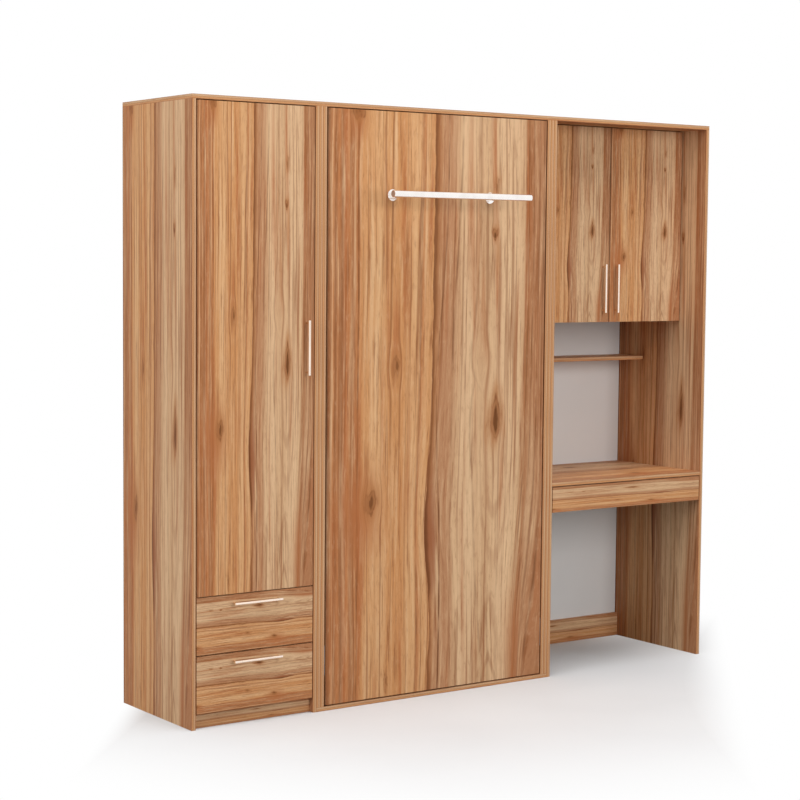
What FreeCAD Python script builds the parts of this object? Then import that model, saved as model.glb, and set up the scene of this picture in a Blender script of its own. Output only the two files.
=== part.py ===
import FreeCAD, Part
import math
import os

# A wall bed in a wall unit: a wardrobe with two drawers on the left, the folding bed in the middle,
# and a desk under an overhead cabinet on the right, all under one top panel.
# Sizes are in millimetres. X runs to the right, Y from the front into the depth, Z up.
# The origin is on the floor, halfway along the unit and halfway through the depth of its boards.

# Mattress: the width of the bed module and the height of the whole unit follow from it
mattress_width = 900.0
mattress_length = 2000.0
mattress_thickness = 180.0
mattress_edge_radius = 30.0
mattress_side_gap = 0.5
mattress_end_gap = 10.0
soft_gap = 0.3
strap_width = 50.0
strap_thickness = 2.0
strap_end_inset = 480.0

# Modules and boards
wardrobe_width = 516.0
desk_module_width = 828.0
carcass_depth = 514.0
board = 16.0
back_thickness = 3.0
back_margin = 4.0
front_reveal = 3.5
front_clearance = 2.0
cut_overrun = 1.0

# Wardrobe
plinth_height = 51.0
plinth_setback = 22.0
drawer_front_height = 203.0
wardrobe_shelf_drop = 334.0
shelf_setback = 40.0
hanging_rail_diameter = 25.0
hanging_rail_wall = 1.5
hanging_rail_drop = 50.0
rail_socket_diameter = 40.0
rail_socket_base = 3.0
rail_socket_depth = 12.0
rail_socket_clearance = 0.3

# Bed module, front panel and the foot bar that the open bed stands on
upright_board_count = 2
bed_plate_clearance = 1.0
bed_swing_clearance = 1.0
foot_bar_diameter = 25.0
foot_bar_wall = 2.0
foot_bar_length = 630.0
foot_bar_drop = 303.5
foot_standoff = 138.0
foot_floor_gap = 0.5
foot_post_spacing = 450.0
foot_post_diameter = 20.0
foot_flange_diameter = 42.0
foot_flange_thickness = 6.0

# Bed pivot and its brackets
pivot_setback = 34.0
pivot_pin_diameter = 16.0
pivot_pin_clearance = 0.1
pivot_boss_diameter = 28.0
pivot_plate_thickness = 5.0
pivot_plate_width = 60.0
pivot_plate_height = 110.0
pivot_side_gap = 0.5

# Bed frame and slats
frame_side_space = 30.5
frame_bottom = 60.0
frame_top_space = 54.0
frame_rail_width = 25.0
frame_rail_depth = 80.0
frame_rail_wall = 2.0
ledge_width = 15.0
ledge_thickness = 4.0
slat_count = 12
slat_width = 60.0
slat_thickness = 12.0
slat_end_gap = 1.0
slat_end_inset = 60.0
slat_level = 44.0

# Gas struts: the fixed end on the upright, and the stud on the bed frame seen from the pivot
strut_fixed_setback = 150.0
strut_fixed_height = 720.0
strut_arm_back = 30.0
strut_arm_down = 110.0
strut_cylinder_diameter = 22.0
strut_cylinder_length = 340.0
strut_rod_diameter = 10.0
strut_rod_clearance = 0.3
strut_rod_overlap = 60.0
strut_eye_diameter = 20.0
strut_eye_thickness = 12.0
strut_neck_length = 8.0
strut_stud_diameter = 10.0
strut_stud_clearance = 0.1
strut_stud_gap = 0.5
strut_bracket_thickness = 3.0
strut_bracket_width = 40.0
strut_bracket_height = 60.0

# Stops that the closed bed frame leans on
stop_drop = 70.0
stop_size = 40.0
stop_depth = 20.0
stop_gap = 0.3

# Wall rails behind the bed and their fixing holes
fixing_rail_height = 100.0
fixing_hole_diameter = 8.0
fixing_inset = 80.0

# Desk module
overhead_setback = 137.0
overhead_bottom = 1395.0
overhead_door_drop = 2.0
overhead_shelf_rise = 377.0
niche_shelf_depth = 152.0
niche_shelf_bottom = 1222.0
desk_height = 772.0
desk_front_height = 100.0
desk_back_rail_height = 100.0

# Drawer boxes and their runners
drawer_board = 12.0
drawer_base = 3.0
wardrobe_box_lift = 20.0
wardrobe_box_top_space = 43.0
wardrobe_box_back_space = 48.0
desk_box_lift = 14.0
desk_box_top_space = 16.0
desk_box_back_space = 98.0
runner_space = 12.7
runner_height = 45.0
runner_wall = 1.5
runner_lip = 9.0
runner_gap = 0.7

# Bar handles
handle_length = 196.0
handle_diameter = 10.0
handle_post_diameter = 8.0
handle_post_inset = 10.0
handle_standoff = 22.0
handle_edge_inset = 32.0
wardrobe_handle_height = 1326.0
drawer_handle_drop = 30.0
overhead_handle_lift = 38.0

# Concealed hinges
hinge_cup_diameter = 35.0
hinge_cup_depth = 11.5
hinge_cup_edge_distance = 22.5
hinge_cup_clearance = 0.1
hinge_flange_width = 48.0
hinge_flange_thickness = 1.5
hinge_flange_rounding = 8.0
hinge_arm_thickness = 13.0
hinge_arm_length = 62.0
hinge_arm_height = 16.0
hinge_arm_rounding = 4.0
hinge_plate_thickness = 3.0
hinge_plate_length = 30.0
hinge_plate_height = 50.0
hinge_plate_setback = 20.0
hinge_end_distance = 110.0
wardrobe_hinge_count = 4
overhead_hinge_count = 2

# Bed frame around the mattress, and the bed module around the frame
frame_inner_width = mattress_width + 2 * (mattress_side_gap + strap_thickness)
frame_length = mattress_length + 2 * (mattress_end_gap + frame_rail_width)
frame_top = frame_bottom + frame_length
bed_opening = frame_inner_width + 2 * (frame_rail_width + frame_side_space)
upright_thickness = upright_board_count * board
bed_module_width = bed_opening + 2 * upright_thickness
bed_side_reveal = pivot_plate_thickness + bed_plate_clearance
overall_height = frame_top + frame_top_space + board

# Planes worked out from the sizes above
overall_width = wardrobe_width + bed_module_width + desk_module_width
x_left = -overall_width / 2
x_bed_left = x_left + wardrobe_width
x_bed_right = x_bed_left + bed_module_width
x_right = overall_width / 2
y_front = -carcass_depth / 2
y_back = carcass_depth / 2
z_under_top = overall_height - board
y_behind_fronts = y_front + board
y_inner_front = y_behind_fronts + front_clearance

# Inner faces of the three modules
wardrobe_inner = (x_left + board, x_bed_left - board)
bed_inner = (x_bed_left + upright_thickness, x_bed_right - upright_thickness)
desk_inner = (x_bed_right + board, x_right - board)
bed_centre = (bed_inner[0] + bed_inner[1]) / 2

# Heights of the wardrobe's fronts, from the plinth upwards
lower_front_bottom = plinth_height + front_reveal
lower_front_top = lower_front_bottom + drawer_front_height
upper_front_bottom = lower_front_top + front_reveal
upper_front_top = upper_front_bottom + drawer_front_height
wardrobe_door_bottom = upper_front_top + front_reveal
door_top = z_under_top - front_reveal
wardrobe_shelf_bottom = z_under_top - wardrobe_shelf_drop

# Foot bar near the panel's top, and the pivot that lets it reach the floor when the bed lies flat
z_foot_bar = door_top - foot_bar_drop
y_pivot = y_front + pivot_setback
z_pivot = pivot_setback + foot_standoff + foot_bar_diameter / 2 + foot_floor_gap
pivot_drop = z_pivot - board
panel_dip = pivot_drop - math.sqrt(pivot_drop ** 2 - pivot_setback ** 2)
bed_panel_bottom = board + panel_dip + bed_swing_clearance

# Desk levels
desk_top_bottom = desk_height - board
desk_front_top = desk_top_bottom - front_reveal
desk_front_bottom = desk_front_top - desk_front_height
y_overhead = y_front + overhead_setback
z_cabinet_floor = overhead_bottom + overhead_door_drop + board

# The mattress lies on the slats, inside the frame
mattress_bottom = frame_bottom + frame_rail_width + mattress_end_gap
mattress_front = y_front + slat_level + ledge_thickness + slat_thickness + soft_gap
mattress_back = mattress_front + mattress_thickness


def vector(x, y, z):
    return FreeCAD.Vector(x, y, z)


def block(x_range, y_range, z_range):
    # A rectangular board between three pairs of planes
    size_x = x_range[1] - x_range[0]
    size_y = y_range[1] - y_range[0]
    size_z = z_range[1] - z_range[0]
    corner = vector(x_range[0], y_range[0], z_range[0])
    return Part.makeBox(size_x, size_y, size_z, corner)


def rod(diameter, start, end):
    # A round bar between two points
    axis = end - start
    return Part.makeCylinder(diameter / 2, axis.Length, start, axis)


def span(low, size):
    return (low, low + size)


def ordered(first, second):
    return (min(first, second), max(first, second))


def around(centre, size):
    return (centre - size / 2, centre + size / 2)


def spread(low, high, count):
    # Evenly spaced places from low to high, both included
    step = (high - low) / (count - 1)
    return [low + step * index for index in range(count)]


def edges_along(shape, index):
    # The edges that run along X, Y or Z, for index 0, 1 or 2
    found = []
    for edge in shape.Edges:
        way = edge.Vertexes[-1].Point - edge.Vertexes[0].Point
        reach = [abs(way.x), abs(way.y), abs(way.z)]
        if 2 * reach[index] > sum(reach):
            found.append(edge)
    return found


def save(name, *solids):
    shape = solids[0] if len(solids) == 1 else Part.makeCompound(list(solids))
    shape.exportStep(os.path.join("parts", name + ".step"))


# Carcass boards
def side_board(x_low, z_low=0):
    return block(span(x_low, board), (y_front, y_back), (z_low, z_under_top))


def bed_upright(x_low):
    # Boards side by side, standing on the bed module's bottom board
    return [side_board(x_low + board * index, board) for index in range(upright_board_count)]


def back_panel(x_low, x_high):
    x_range = (x_low + back_margin, x_high - back_margin)
    z_range = (back_margin, overall_height - back_margin)
    return block(x_range, span(y_back, back_thickness), z_range)


def top_panel():
    return block((x_left, x_right), (y_front, y_back), span(z_under_top, board))


def build_carcass():
    save("top_panel", top_panel())
    save("wardrobe_left_side", side_board(x_left))
    save("wardrobe_right_side", side_board(x_bed_left - board))
    save("bed_left_upright", *bed_upright(x_bed_left))
    save("bed_right_upright", *bed_upright(bed_inner[1]))
    save("desk_left_side", side_board(x_bed_right))
    save("desk_right_side", side_board(x_right - board))
    save("wardrobe_back_panel", back_panel(x_left, x_bed_left))
    save("desk_back_panel", back_panel(x_bed_right, x_right))


# Wardrobe
def hanging_rail():
    # The tube stands in a socket on each side board
    z_axis = wardrobe_shelf_bottom - hanging_rail_drop
    low = vector(wardrobe_inner[0] + rail_socket_base, 0, z_axis)
    high = vector(wardrobe_inner[1] - rail_socket_base, 0, z_axis)
    bore = hanging_rail_diameter - 2 * hanging_rail_wall
    pieces = [rod(hanging_rail_diameter, low, high).cut(rod(bore, low, high))]
    ring_bore = hanging_rail_diameter + 2 * rail_socket_clearance
    for x_face, way in ((wardrobe_inner[0], 1), (wardrobe_inner[1], -1)):
        face = vector(x_face, 0, z_axis)
        seat = vector(x_face + way * rail_socket_base, 0, z_axis)
        rim = vector(x_face + way * rail_socket_depth, 0, z_axis)
        cup = rod(rail_socket_diameter, face, rim)
        pieces.append(cup.cut(rod(ring_bore, seat, rim)))
    return pieces


def build_wardrobe():
    inner = wardrobe_inner
    depth = (y_inner_front, y_back)
    divider_bottom = wardrobe_door_bottom - front_reveal / 2 - board / 2
    shelf_depth = (y_inner_front + shelf_setback, y_back)
    plinth_depth = span(y_front + plinth_setback, board)
    save("wardrobe_bottom_board", block(inner, depth, span(plinth_height, board)))
    save("wardrobe_plinth", block(inner, plinth_depth, (0, plinth_height)))
    save("wardrobe_divider", block(inner, depth, span(divider_bottom, board)))
    save("wardrobe_shelf", block(inner, shelf_depth, span(wardrobe_shelf_bottom, board)))
    save("hanging_rail", *hanging_rail())


# Bar handles
def bar_handle(x_centre, y_face, z_centre, upright):
    # A round bar on two posts; upright handles stand, the others lie along X
    along = vector(0, 0, 1) if upright else vector(1, 0, 0)
    centre = vector(x_centre, y_face - handle_standoff, z_centre)
    bar = rod(handle_diameter, centre - along * (handle_length / 2), centre + along * (handle_length / 2))
    pieces = [bar]
    for way in (-1, 1):
        top = centre + along * (way * (handle_length / 2 - handle_post_inset))
        foot = vector(top.x, y_face, top.z)
        pieces.append(rod(handle_post_diameter, foot, top).cut(bar))
    return pieces


# Concealed hinges
def hinge_heights(z_low, z_high, count):
    return spread(z_low + hinge_end_distance, z_high - hinge_end_distance, count)


def hinge_cup(x_centre, y_face, z_centre):
    # The cup is let into the door's back, with a flange on the face
    bottom = vector(x_centre, y_face - hinge_cup_depth, z_centre)
    cup = rod(hinge_cup_diameter, bottom, vector(x_centre, y_face, z_centre))
    flange = block(
        around(x_centre, hinge_cup_diameter),
        span(y_face, hinge_flange_thickness),
        around(z_centre, hinge_flange_width),
    )
    flange = flange.makeFillet(hinge_flange_rounding, edges_along(flange, 1))
    return cup.fuse(flange).removeSplitter()


def hinge_arm(x_side, way, y_face, z_centre):
    # The rounded arm lies on a flat plate on the side board, behind the door
    y_low = y_face + front_clearance
    x_edge = x_side + way * hinge_arm_thickness
    arm = block(
        ordered(x_side, x_edge), span(y_low, hinge_arm_length), around(z_centre, hinge_arm_height)
    )
    lengthwise = edges_along(arm, 1)
    outer = [edge for edge in lengthwise if abs(edge.Vertexes[0].X - x_side) > hinge_plate_thickness]
    plate = block(
        ordered(x_side, x_side + way * hinge_plate_thickness),
        span(y_low + hinge_plate_setback, hinge_plate_length),
        around(z_centre, hinge_plate_height),
    )
    return arm.makeFillet(hinge_arm_rounding, outer).fuse(plate).removeSplitter()


def door_leaf(x_range, y_low, z_range, cup_x, cup_heights):
    leaf = block(x_range, span(y_low, board), z_range)
    y_face = y_low + board
    for z_centre in cup_heights:
        start = vector(cup_x, y_face - hinge_cup_depth, z_centre)
        end = vector(cup_x, y_face + cut_overrun, z_centre)
        leaf = leaf.cut(rod(hinge_cup_diameter + 2 * hinge_cup_clearance, start, end))
    return leaf


def hinged_door(name, x_range, y_low, z_range, hinge_on_left, hinge_count, handle_height, side_face):
    # Makes a door with its cups and handle, and returns the arms that its side board carries
    way = 1 if hinge_on_left else -1
    hinge_edge = x_range[0] if hinge_on_left else x_range[1]
    free_edge = x_range[1] if hinge_on_left else x_range[0]
    cup_x = hinge_edge + way * hinge_cup_edge_distance
    heights = hinge_heights(z_range[0], z_range[1], hinge_count)
    y_face = y_low + board
    save(name, door_leaf(x_range, y_low, z_range, cup_x, heights))
    save(name + "_hinge_cups", *[hinge_cup(cup_x, y_face, z) for z in heights])
    handle_x = free_edge - way * handle_edge_inset
    save(name + "_handle", *bar_handle(handle_x, y_low, handle_height, True))
    return [hinge_arm(side_face, way, y_face, z) for z in heights]


def build_doors():
    wardrobe_span = (wardrobe_inner[0] + front_reveal, wardrobe_inner[1] - front_reveal)
    desk_span = (desk_inner[0] + front_reveal, desk_inner[1] - front_reveal)
    desk_centre = (desk_inner[0] + desk_inner[1]) / 2
    left_span = (desk_span[0], desk_centre - front_reveal / 2)
    right_span = (desk_centre + front_reveal / 2, desk_span[1])
    tall = (wardrobe_door_bottom, door_top)
    short = (overhead_bottom, door_top)
    short_handle = overhead_bottom + overhead_handle_lift + handle_length / 2
    arms = hinged_door(
        "wardrobe_door", wardrobe_span, y_front, tall, True,
        wardrobe_hinge_count, wardrobe_handle_height, wardrobe_inner[0],
    )
    arms += hinged_door(
        "overhead_left_door", left_span, y_overhead, short, True,
        overhead_hinge_count, short_handle, desk_inner[0],
    )
    arms += hinged_door(
        "overhead_right_door", right_span, y_overhead, short, False,
        overhead_hinge_count, short_handle, desk_inner[1],
    )
    save("hinge_arms", *arms)


# Drawers
def runner_channel(x_side, way, y_range, z_range):
    # An open channel on the cabinet side, its mouth towards the drawer
    x_edge = x_side + way * runner_lip
    x_range = ordered(x_side, x_edge)
    groove_x = ordered(x_side + way * runner_wall, x_edge + way * cut_overrun)
    groove_y = (y_range[0] - cut_overrun, y_range[1] + cut_overrun)
    groove_z = (z_range[0] + runner_wall, z_range[1] - runner_wall)
    return block(x_range, y_range, z_range).cut(block(groove_x, groove_y, groove_z))


def runner_member(x_box, way, y_range, z_range):
    # The drawer's own rail, which runs in the channel with a small gap all round
    x_edge = x_box - way * (runner_space - runner_wall - runner_gap)
    x_range = ordered(x_box, x_edge)
    inset = runner_wall + runner_gap
    return block(x_range, y_range, (z_range[0] + inset, z_range[1] - inset))


def drawer(name, inner, front_z, box_lift, top_space, back_space, has_handle):
    # Makes one drawer and returns the two channels that the cabinet carries
    x_front = (inner[0] + front_reveal, inner[1] - front_reveal)
    x_box = (inner[0] + runner_space, inner[1] - runner_space)
    y_box = (y_behind_fronts, y_back - back_space)
    z_low = front_z[0] + box_lift
    z_box = (z_low, front_z[1] - top_space)
    y_sides = (y_box[0] + drawer_board, y_box[1] - drawer_board)
    save(name + "_front", block(x_front, (y_front, y_behind_fronts), front_z))
    save(
        name + "_box",
        block((x_box[0], x_box[0] + drawer_board), y_sides, z_box),
        block((x_box[1] - drawer_board, x_box[1]), y_sides, z_box),
        block(x_box, (y_box[0], y_sides[0]), z_box),
        block(x_box, (y_sides[1], y_box[1]), z_box),
    )
    save(name + "_bottom", block(x_box, y_box, (z_low - drawer_base, z_low)))
    if has_handle:
        x_centre = (x_front[0] + x_front[1]) / 2
        handle_z = front_z[1] - drawer_handle_drop
        save(name + "_handle", *bar_handle(x_centre, y_front, handle_z, False))
    y_runner = (y_inner_front, y_box[1])
    z_runner = around((z_box[0] + z_box[1]) / 2, runner_height)
    save(
        name + "_runners",
        runner_member(x_box[0], 1, y_runner, z_runner),
        runner_member(x_box[1], -1, y_runner, z_runner),
    )
    return [
        runner_channel(inner[0], 1, y_runner, z_runner),
        runner_channel(inner[1], -1, y_runner, z_runner),
    ]


def build_drawers():
    lower_z = (lower_front_bottom, lower_front_top)
    upper_z = (upper_front_bottom, upper_front_top)
    desk_z = (desk_front_bottom, desk_front_top)
    wardrobe_box = (wardrobe_box_lift, wardrobe_box_top_space, wardrobe_box_back_space)
    desk_box = (desk_box_lift, desk_box_top_space, desk_box_back_space)
    channels = drawer("lower_drawer", wardrobe_inner, lower_z, *wardrobe_box, True)
    channels += drawer("upper_drawer", wardrobe_inner, upper_z, *wardrobe_box, True)
    channels += drawer("desk_drawer", desk_inner, desk_z, *desk_box, False)
    save("runner_channels", *channels)


# Desk and overhead cabinet
def build_desk():
    inner = desk_inner
    cabinet_front = y_overhead + board + front_clearance
    cabinet_floor = (z_cabinet_floor - board, z_cabinet_floor)
    shelf_depth = (cabinet_front + shelf_setback, y_back)
    shelf_bottom = z_cabinet_floor + overhead_shelf_rise
    save("overhead_bottom_board", block(inner, (cabinet_front, y_back), cabinet_floor))
    save("overhead_shelf", block(inner, shelf_depth, span(shelf_bottom, board)))
    niche_depth = (y_back - niche_shelf_depth, y_back)
    save("niche_shelf", block(inner, niche_depth, span(niche_shelf_bottom, board)))
    save("desk_top", block(inner, (y_front, y_back), (desk_top_bottom, desk_height)))
    rail_depth = (y_back - board, y_back)
    save("desk_back_rail", block(inner, rail_depth, (0, desk_back_rail_height)))


# Fixed parts of the bed module
def fixing_places():
    # The four wall screws: two in the rail under the top panel, two in the rail over the floor board
    x_places = (bed_inner[0] + fixing_inset, bed_inner[1] - fixing_inset)
    z_places = (board + fixing_rail_height / 2, z_under_top - fixing_rail_height / 2)
    return [(x, z) for z in z_places for x in x_places]


def drilled(shape, y_low, y_high):
    for x, z in fixing_places():
        start = vector(x, y_low - cut_overrun, z)
        end = vector(x, y_high + cut_overrun, z)
        shape = shape.cut(rod(fixing_hole_diameter, start, end))
    return shape


def wall_rails():
    y_range = (y_back - board, y_back)
    rails = []
    for z_range in ((board, board + fixing_rail_height), (z_under_top - fixing_rail_height, z_under_top)):
        rails.append(drilled(block(bed_inner, y_range, z_range), *y_range))
    return rails


def pivot_bracket(x_face, way):
    # A plate on the upright, a boss across the side gap, and the pin that the frame turns on
    x_plate = x_face + way * pivot_plate_thickness
    x_rail = bed_centre - way * (frame_inner_width / 2 + frame_rail_width)
    x_boss = x_rail - way * pivot_side_gap
    x_end = x_rail + way * frame_rail_width
    x_range = ordered(x_face, x_plate)
    plate = block(
        x_range, around(y_pivot, pivot_plate_width), around(z_pivot, pivot_plate_height)
    )
    boss = rod(pivot_boss_diameter, vector(x_plate, y_pivot, z_pivot), vector(x_boss, y_pivot, z_pivot))
    pin = rod(pivot_pin_diameter, vector(x_plate, y_pivot, z_pivot), vector(x_end, y_pivot, z_pivot))
    return plate.fuse([boss, pin]).removeSplitter()


def bed_stop(x_face, way):
    # A block on the upright, close behind the closed frame's side rail
    reach = bed_centre - way * frame_inner_width / 2
    y_low = y_behind_fronts + frame_rail_depth + stop_gap
    x_range = ordered(x_face, reach)
    return block(x_range, span(y_low, stop_depth), span(frame_top - stop_drop, stop_size))


# Both sides of the bed: the upright's inner face, and the way from it towards the bed
bed_sides = ((bed_inner[0], 1), (bed_inner[1], -1))


def build_bed_module():
    save("bed_bottom_board", block((x_bed_left, x_bed_right), (y_front, y_back), (0, board)))
    panel = back_panel(x_bed_left, x_bed_right)
    save("bed_back_panel", drilled(panel, y_back, y_back + back_thickness))
    save("bed_wall_rails", *wall_rails())
    save("pivot_brackets", *[pivot_bracket(*side) for side in bed_sides])
    save("bed_stops", *[bed_stop(*side) for side in bed_sides])


# Folding bed
def frame_tube(x_range, y_range, z_range, axis):
    # A rectangular steel tube, open along the given axis
    ranges = [x_range, y_range, z_range]
    inner = []
    for index, limits in enumerate(ranges):
        inset = -cut_overrun if index == axis else frame_rail_wall
        inner.append((limits[0] + inset, limits[1] - inset))
    return block(*ranges).cut(block(*inner))


def frame_side_rail(way):
    # A side rail with the bore for the pivot pin, its slat ledge, and the stud for the gas strut
    inner_face = bed_centre - way * frame_inner_width / 2
    outer_face = inner_face - way * frame_rail_width
    y_range = span(y_behind_fronts, frame_rail_depth)
    tube = frame_tube(ordered(inner_face, outer_face), y_range, (frame_bottom, frame_top), 2)
    ledge = block(
        ordered(inner_face, inner_face + way * ledge_width),
        span(y_front + slat_level, ledge_thickness),
        (frame_bottom + frame_rail_width, frame_top - frame_rail_width),
    )
    bore = rod(
        pivot_pin_diameter + 2 * pivot_pin_clearance,
        vector(outer_face - way * cut_overrun, y_pivot, z_pivot),
        vector(inner_face + way * cut_overrun, y_pivot, z_pivot),
    )
    moving = strut_ends(way)[1]
    stud_end = moving + vector(way * (strut_eye_thickness / 2 + strut_stud_gap), 0, 0)
    stud = rod(strut_stud_diameter, vector(outer_face, moving.y, moving.z), stud_end)
    return [tube.cut(bore), ledge, stud]


def frame_end_rail(z_low):
    x_range = around(bed_centre, frame_inner_width)
    y_range = span(y_behind_fronts, frame_rail_depth)
    return frame_tube(x_range, y_range, span(z_low, frame_rail_width), 0)


def slats():
    y_range = span(y_front + slat_level + ledge_thickness, slat_thickness)
    x_range = around(bed_centre, frame_inner_width - 2 * slat_end_gap)
    low = mattress_bottom + slat_end_inset
    high = mattress_bottom + mattress_length - slat_end_inset
    return [block(x_range, y_range, around(z, slat_width)) for z in spread(low, high, slat_count)]


def mattress():
    body = block(
        around(bed_centre, mattress_width),
        (mattress_front, mattress_back),
        span(mattress_bottom, mattress_length),
    )
    return body.makeFillet(mattress_edge_radius, body.Edges)


def round_over(width, y_range, z_range, radius):
    # A block around the bed's middle, its two long corners away from the slats rounded
    body = block(around(bed_centre, width), y_range, z_range)
    corners = [edge for edge in edges_along(body, 2) if edge.Vertexes[0].Y > y_range[1] - soft_gap]
    return body.makeFillet(radius, corners)


def mattress_strap(z_centre):
    # A webbing band over the mattress and down both of its sides, fixed to the frame's inner faces
    z_band = around(z_centre, strap_width)
    z_hollow = (z_band[0] - cut_overrun, z_band[1] + cut_overrun)
    y_inside = mattress_back + soft_gap
    y_outside = y_inside + strap_thickness
    outer_radius = mattress_edge_radius + strap_thickness
    inner_width = frame_inner_width - 2 * strap_thickness
    band = round_over(frame_inner_width, (mattress_front, y_outside), z_band, outer_radius)
    y_hollow = (mattress_front - cut_overrun, y_inside)
    return band.cut(round_over(inner_width, y_hollow, z_hollow, mattress_edge_radius))


def foot_bar():
    # An open tube across the panel, in front of it by the height of the lying bed
    y_axis = y_front - foot_standoff
    start = vector(bed_centre - foot_bar_length / 2, y_axis, z_foot_bar)
    end = vector(bed_centre + foot_bar_length / 2, y_axis, z_foot_bar)
    bore = foot_bar_diameter - 2 * foot_bar_wall
    return rod(foot_bar_diameter, start, end).cut(rod(bore, start, end))


def foot_post(way):
    x = bed_centre + way * foot_post_spacing / 2
    y_axis = y_front - foot_standoff
    foot = vector(x, y_front, z_foot_bar)
    flange_face = vector(x, y_front - foot_flange_thickness, z_foot_bar)
    post = rod(foot_post_diameter, foot, vector(x, y_axis, z_foot_bar))
    flange = rod(foot_flange_diameter, foot, flange_face)
    bar_length = vector(foot_bar_length / 2, 0, 0)
    centre = vector(bed_centre, y_axis, z_foot_bar)
    solid_bar = rod(foot_bar_diameter, centre - bar_length, centre + bar_length)
    return post.fuse(flange).cut(solid_bar).removeSplitter()


def build_bed():
    x_range = (bed_inner[0] + bed_side_reveal, bed_inner[1] - bed_side_reveal)
    front = block(x_range, (y_front, y_behind_fronts), (bed_panel_bottom, door_top))
    save("bed_front_panel", front)
    save("bed_frame_side_rails", *frame_side_rail(1), *frame_side_rail(-1))
    top_rail = frame_end_rail(frame_top - frame_rail_width)
    save("bed_frame_end_rails", frame_end_rail(frame_bottom), top_rail)
    save("bed_slats", *slats())
    save("mattress", mattress())
    strap_low = mattress_bottom + strap_end_inset
    strap_high = mattress_bottom + mattress_length - strap_end_inset
    save("mattress_straps", mattress_strap(strap_low), mattress_strap(strap_high))
    save("foot_bar", foot_bar())
    save("foot_bar_posts", foot_post(-1), foot_post(1))


# Gas struts
def strut_x(way):
    # The strut runs in the middle of the gap between upright and frame
    upright = bed_centre - way * (bed_inner[1] - bed_inner[0]) / 2
    rail = bed_centre - way * (frame_inner_width / 2 + frame_rail_width)
    return (upright + rail) / 2


def strut_ends(way):
    # The fixed end on the upright, and the stud on the closed bed's frame
    fixed = vector(strut_x(way), y_front + strut_fixed_setback, strut_fixed_height)
    moving = vector(strut_x(way), y_pivot + strut_arm_back, z_pivot - strut_arm_down)
    return fixed, moving


def strut_eye(centre):
    side = vector(strut_eye_thickness / 2, 0, 0)
    return rod(strut_eye_diameter, centre - side, centre + side)


def strut_cylinder(way):
    # The eye has a bore for the bracket's stud, and the far end a bore for the rod
    fixed, moving = strut_ends(way)
    along = (moving - fixed).normalize()
    start = fixed + along * (strut_eye_diameter / 2 + strut_neck_length)
    end = fixed + along * strut_cylinder_length
    neck = rod(strut_rod_diameter, fixed, start + along * cut_overrun)
    body = rod(strut_cylinder_diameter, start, end)
    side = vector(strut_eye_thickness, 0, 0)
    eye_bore = rod(strut_stud_diameter + 2 * strut_stud_clearance, fixed - side, fixed + side)
    bore_start = fixed + along * (strut_eye_diameter + strut_cylinder_diameter)
    rod_bore = rod(
        strut_rod_diameter + 2 * strut_rod_clearance, bore_start, end + along * cut_overrun
    )
    return body.fuse([neck, strut_eye(fixed)]).cut(eye_bore).cut(rod_bore).removeSplitter()


def strut_rod(way):
    fixed, moving = strut_ends(way)
    along = (moving - fixed).normalize()
    start = fixed + along * (strut_cylinder_length - strut_rod_overlap)
    return rod(strut_rod_diameter, start, moving).fuse(strut_eye(moving)).removeSplitter()


def strut_bracket(x_face, way):
    # A plate on the upright with the stud that the cylinder's eye turns on
    fixed = strut_ends(way)[0]
    x_plate = x_face + way * strut_bracket_thickness
    plate = block(
        ordered(x_face, x_plate),
        around(fixed.y, strut_bracket_width),
        around(fixed.z, strut_bracket_height),
    )
    stud_end = fixed + vector(way * strut_eye_thickness / 2, 0, 0)
    stud = rod(strut_stud_diameter, vector(x_plate, fixed.y, fixed.z), stud_end)
    return plate.fuse(stud).removeSplitter()


def build_struts():
    save("strut_brackets", *[strut_bracket(*side) for side in bed_sides])
    save("strut_cylinders", strut_cylinder(1), strut_cylinder(-1))
    save("strut_rods", strut_rod(1), strut_rod(-1))


def build_all():
    os.makedirs("parts", exist_ok=True)
    build_carcass()
    build_wardrobe()
    build_doors()
    build_drawers()
    build_desk()
    build_bed_module()
    build_bed()
    build_struts()


build_all()
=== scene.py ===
import math
import bmesh
import bpy
from mathutils import Matrix, Vector


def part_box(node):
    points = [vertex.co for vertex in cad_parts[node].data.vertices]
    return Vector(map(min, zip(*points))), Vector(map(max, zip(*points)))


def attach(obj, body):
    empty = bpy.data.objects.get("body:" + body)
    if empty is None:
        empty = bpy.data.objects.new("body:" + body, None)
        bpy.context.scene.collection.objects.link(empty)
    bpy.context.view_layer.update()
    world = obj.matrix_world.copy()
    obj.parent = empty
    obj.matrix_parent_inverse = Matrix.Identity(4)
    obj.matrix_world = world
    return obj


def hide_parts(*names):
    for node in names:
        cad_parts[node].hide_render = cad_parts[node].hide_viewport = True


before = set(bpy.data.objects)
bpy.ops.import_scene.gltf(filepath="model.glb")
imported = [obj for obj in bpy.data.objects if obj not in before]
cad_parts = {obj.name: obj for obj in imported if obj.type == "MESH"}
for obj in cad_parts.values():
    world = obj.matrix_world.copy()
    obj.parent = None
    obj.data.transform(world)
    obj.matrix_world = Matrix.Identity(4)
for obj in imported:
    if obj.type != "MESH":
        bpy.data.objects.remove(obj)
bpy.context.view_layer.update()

# The looks of a wall bed between a wardrobe and a desk. Everything is in metres, in the frame of the
# CAD model: X to the right, Y from the front into the depth, Z up.

MILLIMETRE = 0.001
WHITE = (1.0, 1.0, 1.0, 1.0)
DEPTH_WAY = Vector((0.0, 1.0, 0.0))

# Camera, worked out from the edges of the unit in the photograph
CAMERA_PLACE = Vector((-4.44928, -6.07905, 1.64931))
CAMERA_YAW = math.radians(35.239)
CAMERA_PITCH = math.radians(-4.212)
CAMERA_ROLL = math.radians(0.489)
FOCAL_LENGTH_PIXELS = 1932.77
PICTURE_PIXELS = 800
SENSOR_MM = 36.0
CAMERA_REACH = 200.0

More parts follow.
